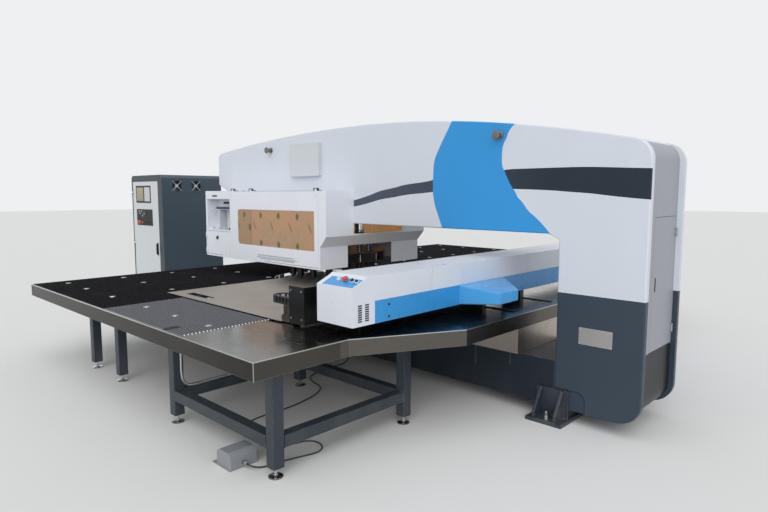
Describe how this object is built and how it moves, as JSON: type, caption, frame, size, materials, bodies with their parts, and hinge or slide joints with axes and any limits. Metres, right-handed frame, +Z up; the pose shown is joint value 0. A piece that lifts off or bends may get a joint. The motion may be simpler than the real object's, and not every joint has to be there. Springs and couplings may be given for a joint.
{
  "type": "cnc turret punch press",
  "caption": "Sheet punching machine with an arched C-frame, tool turret hoods, cross beam with clamps, brush tables, control cabinet and foot switch.",
  "frame": {"origin": "centre of the four anchor holes in the foot brackets, at the floor", "axes": "+X from the turret towards the column, +Y along the beam away from the clamps' end, +Z up"},
  "size_m": [7.187, 6.755, 2.3712],
  "materials": {
    "white_paint": "satin",
    "slate_paint": "satin",
    "blue_paint": "satin",
    "steel_sheet": "brushed",
    "machined_steel": "machined",
    "tool_steel": "satin",
    "black_paint": "satin",
    "grey_paint": "hammered",
    "black_plastic": "matt",
    "bristle": "matt",
    "film": "gloss",
    "spring_blue": "gloss",
    "zinc_steel": "zinc plated",
    "bright_steel": "bright",
    "plate_metal": "brushed",
    "red_plastic": "gloss",
    "ivory_plastic": "gloss",
    "cord_rubber": "matt"
  },
  "bodies": {
    "frame": {"side_plate_near": "white_paint", "side_plate_far": "white_paint", "frame_web": "white_paint", "throat_box": "steel_sheet", "foot_brackets": "slate_paint", "levelling_screws": "zinc_steel", "junction_box": "white_paint", "lifting_knobs": "white_paint", "nameplate": "plate_metal", "hood_near": "white_paint", "hood_far": "white_paint", "air_unit": "black_plastic", "hood_hinges": "black_plastic", "turret_housings": "slate_paint", "ram_cylinder": "machined_steel", "table_near": "steel_sheet", "table_far": "steel_sheet", "table_centre": "steel_sheet", "brush_field": "bristle", "ball_units": "bright_steel", "table_legs": "slate_paint", "levelling_feet": "bright_steel", "conduit": "zinc_steel", "cross_rails": "machined_steel", "cabinet": "slate_paint", "fan_guards": "black_plastic", "foot_switch": "grey_paint", "switch_cord": "cord_rubber"},
    "end_door": {"end_door": "white_paint"},
    "air_door": {"air_door": "white_paint"},
    "hatch_near": {"hatch_near": "white_paint", "window_near": "film"},
    "hatch_far": {"hatch_far": "white_paint", "window_far": "film"},
    "upper_turret": {"upper_turret": "machined_steel", "punches": "tool_steel", "punch_springs": "spring_blue"},
    "lower_turret": {"lower_turret": "machined_steel", "dies": "tool_steel"},
    "ram": {"ram": "machined_steel"},
    "beam": {"beam": "slate_paint", "beam_cover": "white_paint", "beam_skirt": "blue_paint", "drive_pod": "blue_paint", "end_boxes": "white_paint"},
    "carriage": {"carriage": "black_paint", "drag_chain": "black_plastic", "workpiece_sheet": "steel_sheet"},
    "clamp_jaw_a": {"clamp_jaw_a": "machined_steel"},
    "clamp_jaw_b": {"clamp_jaw_b": "machined_steel"},
    "beam_estop": {"beam_estop": "red_plastic"},
    "start_button": {"start_button": "ivory_plastic"},
    "reset_button": {"reset_button": "black_plastic"},
    "mode_selector": {"mode_selector": "black_plastic"},
    "cabinet_door": {"cabinet_door": "white_paint", "operator_panel": "black_plastic"},
    "cabinet_estop": {"cabinet_estop": "red_plastic"},
    "fan_front": {"fan_front": "black_plastic"},
    "fan_rear": {"fan_rear": "black_plastic"},
    "treadle": {"treadle": "black_paint"}
  },
  "joints": [
    {"name": "beam_travel", "type": "slide", "parent": "frame", "child": "beam", "axis": [1, 0, 0], "range_m": [-0.88, 0.27]},
    {"name": "carriage_travel", "type": "slide", "parent": "beam", "child": "carriage", "axis": [0, 1, 0], "range_m": [0, 2.5]},
    {"name": "jaw_a_lift", "type": "hinge", "parent": "carriage", "child": "clamp_jaw_a", "pos_m": [0.665, -1.78, 0.8605], "axis": [0, 1, 0], "range_deg": [0, 20]},
    {"name": "jaw_b_lift", "type": "hinge", "parent": "carriage", "child": "clamp_jaw_b", "pos_m": [0.665, -0.72, 0.8605], "axis": [0, 1, 0], "range_deg": [0, 20]},
    {"name": "upper_turret_spin", "type": "hinge", "parent": "frame", "child": "upper_turret", "pos_m": [-0.935, 0, 1], "axis": [0, 0, 1], "continuous": true},
    {"name": "lower_turret_spin", "type": "hinge", "parent": "frame", "child": "lower_turret", "pos_m": [-0.935, 0, 0.7], "axis": [0, 0, 1], "continuous": true},
    {"name": "ram_stroke", "type": "slide", "parent": "frame", "child": "ram", "axis": [0, 0, 1], "range_m": [-0.032, 0]},
    {"name": "hatch_near_lift", "type": "hinge", "parent": "frame", "child": "hatch_near", "pos_m": [-1.08, -0.722, 1.751], "axis": [-1, 0, 0], "range_deg": [0, 80]},
    {"name": "hatch_far_lift", "type": "hinge", "parent": "frame", "child": "hatch_far", "pos_m": [-1.08, 0.722, 1.751], "axis": [1, 0, 0], "range_deg": [0, 80]},
    {"name": "air_door_swing", "type": "hinge", "parent": "frame", "child": "air_door", "pos_m": [-2.3985, -0.734, 1.13], "axis": [0, 0, -1], "range_deg": [0, 100]},
    {"name": "end_door_swing", "type": "hinge", "parent": "frame", "child": "end_door", "pos_m": [2.623, 0.2885, 1.07], "axis": [0, 0, 1], "range_deg": [0, 100]},
    {"name": "cabinet_door_swing", "type": "hinge", "parent": "frame", "child": "cabinet_door", "pos_m": [-4.4985, -0.722, 1], "axis": [0, 0, -1], "range_deg": [0, 110]},
    {"name": "cabinet_estop_press", "type": "slide", "parent": "cabinet_door", "child": "cabinet_estop", "axis": [0, 1, 0], "range_m": [0, 0.004], "stiffness_N_per_m": 1000, "springref_m": -0.001},
    {"name": "beam_estop_press", "type": "slide", "parent": "beam", "child": "beam_estop", "axis": [0, 0.3969, -0.9179], "range_m": [0, 0.004], "stiffness_N_per_m": 1000, "springref_m": -0.001},
    {"name": "start_press", "type": "slide", "parent": "beam", "child": "start_button", "axis": [0, 0.3969, -0.9179], "range_m": [0, 0.003], "stiffness_N_per_m": 1000, "springref_m": -0.001},
    {"name": "reset_press", "type": "slide", "parent": "beam", "child": "reset_button", "axis": [0, 0.3969, -0.9179], "range_m": [0, 0.003], "stiffness_N_per_m": 1000, "springref_m": -0.001},
    {"name": "mode_turn", "type": "hinge", "parent": "beam", "child": "mode_selector", "pos_m": [1.34, -1.81124, 1.14717], "axis": [0, -0.3969, 0.9179], "range_deg": [-45, 45]},
    {"name": "fan_front_spin", "type": "hinge", "parent": "frame", "child": "fan_front", "pos_m": [-3.61, -0.494, 1.815], "axis": [1, 0, 0], "continuous": true},
    {"name": "fan_rear_spin", "type": "hinge", "parent": "frame", "child": "fan_rear", "pos_m": [-3.61, -0.211, 1.815], "axis": [1, 0, 0], "continuous": true},
    {"name": "treadle_press", "type": "hinge", "parent": "frame", "child": "treadle", "pos_m": [0.955, -2.4225, 0.045], "axis": [0, -1, 0], "range_deg": [0, 5], "stiffness_Nm_per_rad": 20, "springref_deg": -5.73}
  ],
  "couplings": [
    {"joint": "lower_turret_spin", "follows": "upper_turret_spin", "ratio": 1},
    {"joint": "jaw_b_lift", "follows": "jaw_a_lift", "ratio": 1}
  ]
}
